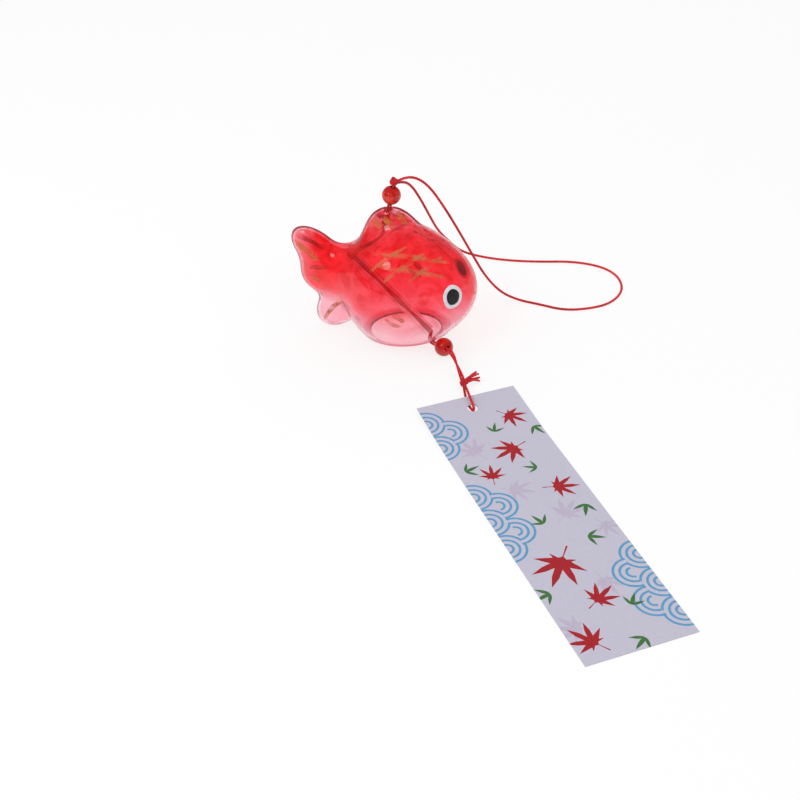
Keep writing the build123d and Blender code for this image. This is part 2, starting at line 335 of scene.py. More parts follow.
def tinted(add, link, blend, share, colour, tint):
    """A colour socket mixed with a fixed tint by a share socket, as the result socket."""
    node = add("ShaderNodeMix", data_type="RGBA", blend_type=blend)
    sockets = {socket.identifier: socket for socket in node.inputs}
    sockets["B_Color"].default_value = (*tint, 1)
    link(share, sockets["Factor_Float"])
    link(colour, sockets["A_Color"])
    return next(socket for socket in node.outputs if socket.identifier == "Result_Color")


def relief(add, link, shader, height, strength, distance):
    """Gives a shader a fine relief from a height socket."""
    bump = set_inputs(add("ShaderNodeBump"), {"Strength": strength, "Distance": distance})
    link(height, bump.inputs["Height"])
    link(bump.outputs["Normal"], shader.inputs["Normal"])


def mixed(add, link, first, second):
    """A mix of two shaders."""
    node = add("ShaderNodeMixShader")
    link(first.outputs[0], node.inputs[1])
    link(second.outputs[0], node.inputs[2])
    return node


def lamps_pass(add, link, shader, clear):
    """A glass shader that is clear to the rays that look for lamps."""
    node = mixed(add, link, shader, clear)
    link(add("ShaderNodeLightPath").outputs["Is Shadow Ray"], node.inputs["Fac"])
    return node


def bell_glass_material():
    """Red flashed glass: deep on the back, pale at the mouth, with drawn-out streaks of colour."""
    material, add, link, surface = new_material("bell_glass")
    place = add("ShaderNodeTexCoord").outputs["Object"]
    split = add("ShaderNodeSeparateXYZ")
    link(place, split.inputs[0])
    along = split.outputs["X"]
    up = tilt @ Vector((0, 0, 1))
    upright = add("ShaderNodeVectorMath", operation="DOT_PRODUCT")
    upright.inputs[1].default_value = up
    link(place, upright.inputs[0])
    mouth = set_inputs(add("ShaderNodeMath", operation="SUBTRACT"), {1: lift * up.z * MM})
    link(upright.outputs["Value"], mouth.inputs[0])
    above_mouth = mouth.outputs[0]

    stretch = set_inputs(add("ShaderNodeMapping"), {"Scale": STREAK_SCALE})
    link(place, stretch.inputs["Vector"])
    streaks = noise(add, link, stretch.outputs[0], Scale=1.0, Detail=3.0, Distortion=1.6)
    sway = set_inputs(add("ShaderNodeMath", operation="MULTIPLY_ADD"), {1: 2 * STREAK_SWAY, 2: -STREAK_SWAY})
    link(streaks, sway.inputs[0])
    height = reckon(add, link, "ADD", above_mouth, sway.outputs[0])
    colour = ramp(add, link, fade(add, link, height, (0.0, TINT_REACH)), GLASS_TINTS)

    wisps = noise(add, link, place, Scale=110.0, Detail=2.0, Distortion=2.2)
    thick = fade(add, link, wisps, WISP_NOISE)
    gathered = reckon(add, link, "MULTIPLY", thick, fade(add, link, height, WISP_HEIGHTS))
    colour = tinted(add, link, "MULTIPLY", gathered, colour, WISP_TINT)

    behind = fade(add, link, along, LOBE_X)
    lobe = reckon(add, link, "MULTIPLY", behind, fade(add, link, height, LOBE_HEIGHTS))
    tips = fade(add, link, along, TIPS_X, high=TIPS_PALENESS)
    colour = tinted(add, link, "MIX", reckon(add, link, "MAXIMUM", lobe, tips), colour, PALE_TINT)
    colour = tinted(add, link, "MIX", fade(add, link, above_mouth, RIM_HEIGHTS), colour, RIM_TINT)

    glass = set_inputs(add("ShaderNodeBsdfPrincipled"), {
        "Roughness": 0.02, "IOR": 1.45, "Transmission Weight": 1.0, "Specular IOR Level": 0.5,
    })
    link(colour, glass.inputs["Base Color"])
    relief(add, link, glass, noise(add, link, place, Scale=90.0, Detail=1.0), 0.05, 0.002)
    clear = add("ShaderNodeBsdfTransparent")
    link(colour, clear.inputs["Color"])
    thin = set_inputs(mixed(add, link, glass, clear), {"Fac": GLASS_HAZE})
    link(lamps_pass(add, link, thin, clear).outputs[0], surface)
    return material


def tube_glass_material():
    """Clear drawn glass with faint long draw lines."""
    material, add, link, surface = new_material("tube_glass")
    place = add("ShaderNodeTexCoord").outputs["Object"]
    lines = noise(add, link, place, Scale=400.0, Detail=2.0)
    tone = ramp(add, link, lines, [(0.3, (0.86, 0.9, 0.9)), (0.7, (0.95, 0.97, 0.97))])
    glass = set_inputs(add("ShaderNodeBsdfPrincipled"), {
        "Roughness": 0.02, "IOR": 1.5, "Transmission Weight": 1.0,
    })
    link(tone, glass.inputs["Base Color"])
    clear = add("ShaderNodeBsdfTransparent")
    link(tone, clear.inputs["Color"])
    link(lamps_pass(add, link, glass, clear).outputs[0], surface)
    return material


def bead_material():
    """Glossy, slightly cloudy red bead with swirls of lighter colour in it."""
    material, add, link, surface = new_material("bead")
    place = add("ShaderNodeTexCoord").outputs["Object"]
    swirl = noise(add, link, place, Scale=190.0, Detail=1.0, Distortion=1.6)
    tone = ramp(add, link, swirl, [
        (0.34, (0.48, 0.004, 0.003)), (0.54, (0.58, 0.006, 0.004)), (0.72, (0.82, 0.04, 0.018)),
    ])
    shine = set_inputs(add("ShaderNodeBsdfPrincipled"), {
        "Roughness": 0.08, "IOR": 1.49, "Transmission Weight": 0.25, "Specular IOR Level": 0.15,
        "Coat Weight": 0.55, "Coat Roughness": 0.02, "Subsurface Weight": 0.15, "Subsurface Scale": 0.002,
    })
    link(tone, shine.inputs["Base Color"])
    link(shine.outputs[0], surface)
    return material


def cord_material():
    """Red cord: fine fibres along the plies and a little fading from place to place."""
    material, add, link, surface = new_material("cord")
    place = add("ShaderNodeTexCoord").outputs["Object"]
    fading = noise(add, link, place, Scale=120.0, Detail=2.0)
    fibres = noise(add, link, place, Scale=5200.0, Detail=3.0)
    both = set_inputs(add("ShaderNodeMath", operation="MULTIPLY_ADD"), {1: 0.45})
    link(fibres, both.inputs[0])
    link(fading, both.inputs[2])
    tone = ramp(add, link, both.outputs[0], [
        (0.48, (0.40, 0.008, 0.016)), (0.72, (0.60, 0.014, 0.024)), (0.98, (0.72, 0.04, 0.045)),
    ])
    thread = set_inputs(add("ShaderNodeBsdfPrincipled"), {
        "Roughness": 0.62, "Sheen Weight": 0.08, "Sheen Roughness": 0.4, "Specular IOR Level": 0.25,
    })
    link(tone, thread.inputs["Base Color"])
    relief(add, link, thread, fibres, 0.5, 0.0001)
    link(thread.outputs[0], surface)
    return material


def paint_material(name, dark, light, roughness, scale, cover=None):
    """Hand-laid enamel of uneven thickness; cover is the least and the most that it hides."""
    material, add, link, surface = new_material(name)
    place = add("ShaderNodeTexCoord").outputs["Object"]
    laid = noise(add, link, place, Scale=scale, Detail=4.0, Distortion=0.8)
    paint = set_inputs(add("ShaderNodeBsdfPrincipled"), {"Roughness": roughness, "Specular IOR Level": 0.3})
    link(ramp(add, link, laid, [(0.3, dark), (0.7, light)]), paint.inputs["Base Color"])
    if cover:
        pools = noise(add, link, place, Scale=260.0, Detail=1.0)
        link(fade(add, link, pools, PAINT_POOLS, *cover), paint.inputs["Alpha"])
    relief(add, link, paint, laid, 0.25, 0.0002)
    link(paint.outputs[0], surface)
    return material


def paper_material(name, dark, light):
    """Smooth card, or ink on it: fine fibre mottling and a soft sheen."""
    material, add, link, surface = new_material(name)
    place = add("ShaderNodeTexCoord").outputs["Object"]
    fibres = noise(add, link, place, Scale=900.0, Detail=5.0, Roughness=0.7)
    card = set_inputs(add("ShaderNodeBsdfPrincipled"), {"Roughness": 0.55, "Specular IOR Level": 0.3})
    link(ramp(add, link, fibres, [(0.3, dark), (0.7, light)]), card.inputs["Base Color"])
    relief(add, link, card, fibres, 0.05, 0.0001)
    link(card.outputs[0], surface)
    return material


BELL_GLASS = bell_glass_material()
TUBE_GLASS = tube_glass_material()
BEAD = bead_material()
CORD = cord_material()
EYE_WHITE = paint_material("eye_white", (0.62, 0.60, 0.66), (0.78, 0.77, 0.82), 0.3, 700)
EYE_BLACK = paint_material("eye_black", (0.006, 0.005, 0.006), (0.014, 0.011, 0.013), 0.4, 700)
GOLD = paint_material("gold_stroke", (0.50, 0.12, 0.028), (0.70, 0.22, 0.05), 0.5, 900, (0.16, 0.61))
THIN_GOLD = paint_material("thin_gold", (0.56, 0.19, 0.075), (0.74, 0.30, 0.13), 0.5, 900, (0.07, 0.37))
PAPER = paper_material("paper", (0.49, 0.475, 0.575), (0.525, 0.51, 0.61))
RED_INK = paper_material("red_ink", (0.33, 0.008, 0.014), (0.42, 0.014, 0.022))
BLUE_INK = paper_material("blue_ink", (0.08, 0.27, 0.48), (0.13, 0.34, 0.57))
GREEN_INK = paper_material("green_ink", (0.035, 0.13, 0.035), (0.07, 0.20, 0.055))
GHOST_INK = paper_material("ghost_ink", (0.45, 0.395, 0.515), (0.495, 0.44, 0.56))


# Meshes

def add_mesh(name, points, faces, materials, smooth=True):
    """A mesh object from points in millimetres in the row frame."""
    mesh = bpy.data.meshes.new(name)
    mesh.from_pydata((np.asarray(points, float) * MM).tolist(), [], [list(map(int, f)) for f in faces])
    for material in materials:
        mesh.materials.append(material)
    mesh.polygons.foreach_set("use_smooth", [smooth] * len(mesh.polygons))
    mesh.update()
    piece = bpy.data.objects.new(name, mesh)
    bpy.context.scene.collection.objects.link(piece)
    return piece


# Glass fish as a distance field, so that its swellings run into each other as blown glass does

def ellipsoid(points, centre, half_sizes, pitch):
    """Distance to a pitched ellipsoid, near its skin."""
    offset = points - np.array((centre[0], 0, centre[1]))
    turn = radians(pitch)
    x = offset[..., 0] * cos(turn) - offset[..., 2] * sin(turn)
    z = offset[..., 0] * sin(turn) + offset[..., 2] * cos(turn)
    local = np.stack((x, offset[..., 1], z), axis=-1)
    half = np.array(half_sizes)
    reach = np.linalg.norm(local / half, axis=-1)
    slope = np.linalg.norm(local / half ** 2, axis=-1)
    return reach * (reach - 1) / np.maximum(slope, TINY_SLOPE)


def join(a, b, fillet):
    """The nearer of two distances, with a rounded crease between them."""
    share = np.clip(0.5 + 0.5 * (b - a) / fillet, 0, 1)
    return b + (a - b) * share - fillet * share * (1 - share)


def fish_distance(points, inset=0.0):
    """Distance to the fish's skin, drawn in by inset."""

    def swelling(form):
        centre, half_sizes, pitch = form
        return ellipsoid(points, centre, tuple(half - inset for half in half_sizes), pitch)

    fish = join(swelling(BODY), swelling(HEAD), HEAD_FILLET)
    fish = join(fish, swelling(ROOT), ROOT_FILLET)
    fish = join(fish, swelling(DORSAL), DORSAL_FILLET)
    tail = swelling(TAIL_LOBES[0])
    for lobe in TAIL_LOBES[1:]:
        tail = join(tail, swelling(lobe), TAIL_FILLET)
    return join(fish, tail, TAIL_FILLET)


def shell_distance(points):
    """Distance to the hollow glass, with the rolled lip of its mouth and its cord hole."""
    wall = np.maximum(fish_distance(points), -fish_distance(points, GLASS_WALL))
    bell = -join(-wall, points[..., 2], RIM_ROUNDING)
    lip = np.hypot(fish_distance(points, GLASS_WALL / 2), points[..., 2] - LIP_HEIGHT) - LIP_RADIUS
    bell = join(bell, np.maximum(lip, LIP_BACK - points[..., 0]), LIP_FILLET)
    from_hole = points - np.array((HOLE_PLACE[0], 0, HOLE_PLACE[1]))
    axis = np.array((sin(radians(HOLE_TILT)), 0, cos(radians(HOLE_TILT))))
    across = from_hole - (from_hole @ axis)[..., None] * axis
    hole = np.maximum(np.linalg.norm(across, axis=-1) - HOLE_RADIUS, HOLE_FOOT - points[..., 2])
    return -join(-bell, hole, HOLE_ROUNDING)


def settle(points, distance, rounds=3, step=0.04):
    """Points moved onto the surface where distance is zero, and their normals."""
    for _ in range(rounds + 1):
        value = distance(points)
        slopes = [
            (distance(points + shift) - distance(points - shift)) / (2 * step) for shift in np.eye(3) * step
        ]
        slope = np.stack(slopes, axis=-1)
        size = np.maximum((slope ** 2).sum(-1), LEAST_SQUARED_SLOPE)
        points = points - (value / size)[..., None] * slope
    return points, slope / np.sqrt(size)[..., None]


def glass_bell():
    """The glass as one mesh, settled onto its distance field."""
    axes = [np.arange(low, high, GRID_STEP) for low, high in zip(GRID_LOW, GRID_HIGH)]
    cells = np.stack(np.meshgrid(*axes, indexing="ij"), axis=-1)
    field = shell_distance(cells).astype(np.float32)
    grid = openvdb.FloatGrid(GRID_STEP)
    grid.copyFromArray(field)
    places, quads = grid.convertToQuads()
    points, _ = settle(np.array(GRID_LOW) + places.astype(float) * GRID_STEP, shell_distance)
    return add_mesh("glass_fish", stand(points), quads, [BELL_GLASS])


def paint_film(name, places, heights, faces, material):
    """Paint that touches the glass: a closed film with its top at heights and its root in the glass."""
    on_glass, normals = settle(np.array(places), fish_distance)
    top = on_glass + normals * np.array(heights)[:, None]
    root = on_glass - normals * PAINT_ROOT
    count = len(places)
    backs = [tuple(count + corner for corner in reversed(face)) for face in faces]
    sides = {side for face in faces for side in zip(face, face[1:] + face[:1])}
    walls = [(b, a, count + a, count + b) for a, b in sorted(sides) if (b, a) not in sides]
    return add_mesh(name, stand(np.concatenate((top, root))), faces + backs + walls, [material])


def paint_disc(name, middle, across, up, inner, outer, height, material):
    """A round patch of paint on the glass, or a ring of it, with a soft edge."""
    spokes = EYE_SPOKES
    flat, heights = [], []
    for ring in range(EYE_RINGS + 1):
        share = ring / EYE_RINGS
        for spoke in range(spokes):
            angle = 2 * pi * spoke / spokes
            wobble = 1 + THREE_WAVES * sin(3 * angle + outer) + FIVE_WAVES * sin(5 * angle)
            reach = (inner + (outer - inner) * share) * wobble
            flat.append(middle + reach * (across * cos(angle) / EYE_STRETCH + up * sin(angle) * EYE_STRETCH))
            heights.append(height * (1 - share ** EYE_EDGE) + PAINT_SEAT)
    faces = []
    for start in range(0, EYE_RINGS * spokes, spokes):
        for i in range(spokes):
            j = (i + 1) % spokes
            faces.append((start + j, start + spokes + j, start + spokes + i, start + i))
    return paint_film(name, flat, heights, faces, material)


def eye(side):
    """A painted eye: a white ring and a black pupil that overlaps it, both following the glass."""
    middle, normal = settle(np.array([(EYE_PLACE[0], side * EYE_PLACE[1], EYE_PLACE[2])]), fish_distance)
    across = np.cross(normal[0], (0, 0, 1))
    across /= np.linalg.norm(across)
    up = np.cross(across, normal[0])
    label = "near" if side > 0 else "far"
    spot = middle[0], across, up
    return [
        paint_disc(f"{label}_eye_white", *spot, WHITE_BORE, EYE_RADIUS, WHITE_HEIGHT, EYE_WHITE),
        paint_disc(f"{label}_eye_pupil", *spot, PUPIL_BORE, PUPIL_RADIUS, PUPIL_HEIGHT, EYE_BLACK),
    ]


def stroke(name, start, middle, end, half_width, side, material):
    """One brush stroke on the glass: a bent ribbon with tapering, rounded ends."""
    columns = STROKE_COLUMNS
    first, passed, last = np.array((start, middle, end)) * (1, side, 1)
    pull = 2 * passed - (first + last) / 2
    shares = [i / STROKE_STEPS for i in range(STROKE_STEPS + 1)]
    centres = [(1 - t) ** 2 * first + t ** 2 * last + 2 * t * (1 - t) * pull for t in shares]
    centres, normals = settle(np.array(centres), fish_distance)
    tangents = np.gradient(centres, axis=0)
    sideways = np.cross(normals, tangents)
    sideways /= np.linalg.norm(sideways, axis=1)[:, None]
    flat, heights = [], []
    for t, centre, aside in zip(shares, centres, sideways):
        taper = min(1, (4 * t * (1 - t)) ** STROKE_TAPER + STROKE_TIP)
        width = half_width * taper * (1 + STROKE_WAVER * sin(STROKE_WAVES * t + start[0]))
        rise = STROKE_HEIGHT * min(1, STROKE_RISE * t, STROKE_RISE * (1 - t))
        for j in range(columns):
            share = 2 * j / (columns - 1) - 1
            flat.append(centre + aside * share * width)
            heights.append(rise * (1 - share ** STROKE_EDGE) + PAINT_SEAT)
    faces = [
        (row + j + columns, row + j + 1 + columns, row + j + 1, row + j)
        for row in range(0, STROKE_STEPS * columns, columns) for j in range(columns - 1)
    ]
    return paint_film(name, flat, heights, faces, material)


# Cords

def spline_points(route, resolution=12):
    """Points of the smooth NURBS line that has the route as its control points, in millimetres."""
    curve = bpy.data.curves.new("route", "CURVE")
    curve.dimensions = "3D"
    curve.resolution_u = resolution
    spline = curve.splines.new("NURBS")
    spline.points.add(len(route) - 1)
    for point, place in zip(spline.points, route):
        point.co = (*place, 1)
    spline.order_u = 3
    spline.use_endpoint_u = True
    holder = bpy.data.objects.new("route", curve)
    line = bpy.data.meshes.new_from_object(holder)
    points = np.array([vertex.co for vertex in line.vertices])
    bpy.data.objects.remove(holder)
    bpy.data.curves.remove(curve)
    bpy.data.meshes.remove(line)
    return points


def reach_along(points):
    """Length of a line up to each of its points."""
    return np.concatenate(([0], np.cumsum(np.linalg.norm(np.diff(points, axis=0), axis=1))))


def even_points(points, step):
    """The same line with points a steady step apart."""
    reach = reach_along(points)
    count = max(FEWEST_STEPS, ceil(reach[-1] / step))
    wanted = np.linspace(0, reach[-1], count + 1)
    return np.stack([np.interp(wanted, reach, points[:, k]) for k in range(3)], axis=1)


def carried_frames(points):
    """Two directions across the line at each point, carried along it without twisting."""
    tangents = np.gradient(points, axis=0)
    tangents /= np.linalg.norm(tangents, axis=1)[:, None]
    first = np.cross(tangents[0], SIDE_GUIDE)
    across = [first / np.linalg.norm(first)]
    for tangent in tangents[1:]:
        carried = across[-1] - tangent * (across[-1] @ tangent)
        across.append(carried / np.linalg.norm(carried))
    across = np.array(across)
    return across, np.cross(tangents, across)


def ply_reach(angle):
    """Outline of a laid cord at an angle, as a share of its radius."""
    turn = 2 * pi / PLIES
    off = (angle + turn / 2) % turn - turn / 2
    aside = PLY_OFFSET_SHARE * sin(off)
    return PLY_OFFSET_SHARE * cos(off) + (PLY_RADIUS_SHARE ** 2 - aside ** 2) ** 0.5


def rope_mesh(points, radius, phase=0.0, sides=18):
    """A laid cord along points: vertices and faces."""
    across, over = carried_frames(points)
    reach = reach_along(points)
    vertices, faces = [], []
    count = len(points)
    for i in range(count):
        twist = 2 * pi * reach[i] / (CORD_LAY * radius / CORD_RADIUS) + phase
        for j in range(sides):
            angle = 2 * pi * j / sides
            out = radius * ply_reach(angle - twist)
            vertices.append(points[i] + out * (cos(angle) * across[i] + sin(angle) * over[i]))
    for i in range(count - 1):
        for j in range(sides):
            k = (j + 1) % sides
            faces.append((i * sides + j, i * sides + k, (i + 1) * sides + k, (i + 1) * sides + j))
    for ring, back in ((0, True), (count - 1, False)):
        vertices.append(points[ring])
        middle = len(vertices) - 1
        for j in range(sides):
            k = (j + 1) % sides
            pair = (ring * sides + k, ring * sides + j) if back else (ring * sides + j, ring * sides + k)
            faces.append((*pair, middle))
    return vertices, faces


def joined(meshes):
    """Several (vertices, faces) as one."""
    vertices, faces = [], []
    for more_vertices, more_faces in meshes:
        start = len(vertices)
        vertices.extend(more_vertices)
        faces.extend(tuple(start + index for index in face) for face in more_faces)
    return vertices, faces


def pair_mesh(points, phase=0.0):
    """Two cords side by side along points, laid loosely round each other."""
    across, over = carried_frames(points)
    turn = (2 * pi * reach_along(points) / PAIR_LAY + phase)[:, None]
    offset = STRAND_RADIUS * (np.cos(turn) * across + np.sin(turn) * over)
    return joined([
        rope_mesh(points + offset, STRAND_RADIUS, phase),
        rope_mesh(points - offset, STRAND_RADIUS, phase + 1),
    ])


def knot_mesh(centre, axis, radius, phase=0.0):
    """An overhand knot drawn tight: the doubled cord along a trefoil."""
    turn = Vector((0, 0, 1)).rotation_difference(Vector(axis)).to_matrix() @ Matrix.Rotation(phase, 3, "Z")
    t = np.linspace(0, 2 * pi, KNOT_STEPS + 1)
    spread = (radius - KNOT_STRAND) / TREFOIL_REACH
    meshes = []
    for shift in KNOT_SHIFTS:
        line = np.stack((
            spread * (np.sin(t) + 2 * np.sin(2 * t)),
            spread * (np.cos(t) - 2 * np.cos(2 * t)),
            -KNOT_RISE * radius * np.sin(3 * t) + shift * radius,
        ), axis=1)
        line = line @ np.array(turn).T + np.array(centre)
        meshes.append(rope_mesh(line, KNOT_STRAND, phase))
    return joined(meshes)


def frayed_mesh(points, radius, phase):
    """A cut end of cord: its plies, twisted at first and spreading at the tip."""
    across, over = carried_frames(points)
    t = np.linspace(0, 1, len(points))
    loose = np.clip((t - FRAY_START) / (1 - FRAY_START), 0, 1)
    spread = FRAY_SPREAD + FRAY_FLARE * loose ** FRAY_GROWTH
    meshes = []
    for ply in range(PLIES):
        turn = phase + 2 * pi * ply / PLIES + FRAY_TWIST * t * (1 - FRAY_UNTWIST * t)
        offset = radius * spread * np.stack((np.cos(turn), np.sin(turn)))
        line = points + offset[0][:, None] * across + offset[1][:, None] * over
        meshes.append(rope_mesh(line, FRAY_PLY_SHARE * radius, phase + ply, sides=FRAY_SIDES))
    return joined(meshes)


def cord_piece(name, mesh, body, *nodes):
    """A stretch of cord that rides on a body and replaces CAD nodes."""
    piece = add_mesh(name, *mesh, [CORD])
    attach(piece, body)
    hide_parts(*nodes)
    return piece


# Paper strip

def strip_place(down, across, height):
    """A place on the strip, from distances down and across it and its height, in the row frame."""
    heading = radians(STRIP_HEADING)
    x = STRIP_TOP[0] + down * cos(heading) - across * sin(heading)
    y = STRIP_TOP[1] + down * sin(heading) + across * cos(heading)
    return (x, y, height)


def strip_height(down):
    """Height of the strip's underside: its top end rises in one long arc."""
    radius = (STRIP_LIFT_RUN ** 2 + STRIP_LIFT ** 2) / (2 * STRIP_LIFT)
    left = max(0.0, STRIP_LIFT_RUN - down)
    return radius - (radius ** 2 - left ** 2) ** 0.5


def maple_leaf(down, across, size, turn):
    """Outline of a seven-pointed maple leaf with its stem."""
    half = []
    for index, (angle, reach) in enumerate(LEAF_TIPS):
        last = index + 1 == len(LEAF_TIPS)
        next_angle, next_reach = (angle + LAST_TURN, 0) if last else LEAF_TIPS[index + 1]
        half.append((angle, reach))
        half.append((angle + SHOULDER_ANGLE, reach * SHOULDER_SHARE))
        half.append(((angle + next_angle) / 2, LAST_NOTCH if last else NOTCH))
        if not last:
            half.append((next_angle - SHOULDER_ANGLE, next_reach * SHOULDER_SHARE))
    half += LEAF_STEM
    points = []
    for angle, reach in half + [(-angle, reach) for angle, reach in reversed(half) if angle != 0]:
        heading = radians(angle + turn)
        points.append((down + size * reach * cos(heading), across + size * reach * sin(heading)))
    return points


def half_ring(down, across, outer, inner, turn):
    """Outline of a little more than half a ring that bulges towards turn."""
    start = turn - RING_SPAN / 2
    angles = [radians(start + RING_SPAN * i / RING_STEPS) for i in range(RING_STEPS + 1)]
    rim = [(down + outer * cos(a), across + outer * sin(a)) for a in angles]
    bore = [(down + inner * cos(a), across + inner * sin(a)) for a in reversed(angles)]
    return rim + bore


def wave(down, across, turn):
    """One scale of a wave pattern: nested half rings on a cleared ground, as (ink, outline)."""
    shapes = [(PLAIN, half_ring(down, across, WAVE_SIZE, 0, turn))]
    for outer in WAVE_RINGS:
        inner = outer - WAVE_LINE
        shapes.append((BLUE, half_ring(down, across, WAVE_SIZE * outer, WAVE_SIZE * inner, turn)))
    return shapes


def leaf_blade(down, across, size, turn):
    """One slender pointed leaf."""
    heading = radians(turn)
    there = [(i / BLADE_STEPS, 1) for i in range(BLADE_STEPS + 1)]
    back = [(1 - i / BLADE_STEPS, -1) for i in range(1, BLADE_STEPS)]
    outline = []
    for t, side in there + back:
        along = size * t
        out = side * size * BLADE_WIDTH * sin(pi * t ** BLADE_FULLNESS)
        outline.append((
            down + along * cos(heading) - out * sin(heading),
            across + along * sin(heading) + out * cos(heading),
        ))
    return outline


def sprig(down, across, size, turn):
    """Three blades from one point."""
    return [leaf_blade(down, across, size * share, turn + angle) for angle, share in SPRIG_BLADES]


def printed_shapes():
    """The print, as (ink, outline): waves at the edges and leaves drifting between them."""
    shapes = [(GHOST, maple_leaf(*leaf)) for leaf in GHOST_LEAVES]
    for edge, turn, downs in SHORES:
        for down in downs:
            shapes.extend(wave(down, edge, turn))
        inward = WAVE_INWARD if edge < 0 else -WAVE_INWARD
        for down, following in zip(downs, downs[1:]):
            shapes.extend(wave((down + following) / 2, edge + inward, turn))
    shapes.extend((RED, maple_leaf(*leaf)) for leaf in RED_LEAVES)
    for place in SPRIGS:
        shapes.extend((GREEN, blade) for blade in sprig(*place))
    return shapes


def inside(outline, places):
    """Which places lie inside an outline."""
    hits = np.zeros(len(places), bool)
    x, y = places[:, 0], places[:, 1]
    for (x0, y0), (x1, y1) in zip(outline, outline[1:] + outline[:1]):
        crosses = (y0 > y) != (y1 > y)
        if crosses.any():
            hits ^= crosses & (x < (x1 - x0) * (y - y0) / (y1 - y0) + x0)
    return hits


def paper_strip():
    """The strip as one sheet, cut along its print so that each face has one ink."""
    half = STRIP_WIDTH / 2
    places = [Vector(p) for p in ((0, -half), (STRIP_LENGTH, -half), (STRIP_LENGTH, half), (0, half))]
    edges = [(0, 1), (1, 2), (2, 3), (3, 0)]

    def add_outline(outline):
        start = len(places)
        places.extend(Vector(p) for p in outline)
        count = len(outline)
        edges.extend((start + i, start + (i + 1) % count) for i in range(count))

    hole = []
    for i in range(HOLE_SIDES):
        angle = 2 * pi * i / HOLE_SIDES
        hole.append((STRIP_HOLE_INSET + STRIP_HOLE_RADIUS * cos(angle), STRIP_HOLE_RADIUS * sin(angle)))
    add_outline(hole)
    shapes = printed_shapes()
    for _, outline in shapes:
        add_outline(outline)
    for i in range(1, SHEET_ROWS):
        for j in range(1, SHEET_COLUMNS):
            places.append(Vector((STRIP_LENGTH * i / SHEET_ROWS, -half + STRIP_WIDTH * j / SHEET_COLUMNS)))
    found, _, triangles, *_ = delaunay_2d_cdt(places, edges, [], 0, SAME_PLACE)
    flat = np.array([tuple(p) for p in found])
    triangles = np.array(triangles)
    middles = flat[triangles].mean(axis=1)
    on_paper = (abs(middles[:, 1]) < half) & (middles[:, 0] > 0) & (middles[:, 0] < STRIP_LENGTH)
    on_paper &= ~inside(hole, middles)
    triangles, middles = triangles[on_paper], middles[on_paper]
    ink = np.zeros(len(triangles), int)
    for colour, outline in shapes:
        ink[inside(outline, middles)] = colour
    used = np.unique(triangles)
    renumbered = np.full(len(flat), -1)
    renumbered[used] = np.arange(len(used))
    points = [strip_place(u, v, strip_height(u)) for u, v in flat[used]]
    inks = [PAPER, RED_INK, BLUE_INK, GREEN_INK, GHOST_INK]
    piece = add_mesh("paper", points, renumbered[triangles], inks, smooth=False)
    piece.data.polygons.foreach_set("material_index", ink.tolist())
    card = piece.modifiers.new("thickness", "SOLIDIFY")
    card.thickness = STRIP_THICKNESS * MM
    card.offset = 1
    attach(piece, "paper_strip")
    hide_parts("paper_strip")
    return piece


def dress_node(node, material):
    """A CAD node that keeps its shape, with its own material."""
    mesh = frame["nodes"][node].data
    mesh.materials.clear()
    mesh.materials.append(material)


def glass_pieces():
    """The glass fish with its paint, and the CAD's own tube and beads in their materials."""
    fish = glass_bell()
    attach(fish, "bell")
    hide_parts("glass_bell")
    painted = [piece for side in (1, -1) for piece in eye(side)]
    for side, label, lines in ((1, "near", STROKES + NEAR_STROKES), (-1, "far", STROKES)):
        for index, line in enumerate(lines):
            painted.append(stroke(f"{label}_stroke_{index}", *line, side, GOLD))
        for index, line in enumerate(FLANK_STROKES):
            painted.append(stroke(f"{label}_flank_stroke_{index}", *line, side, THIN_GOLD))
    for piece in painted:
        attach(piece, "bell")
    dress_node("clapper_tube", TUBE_GLASS)
    dress_node("top_bead", BEAD)
    dress_node("lower_bead", BEAD)


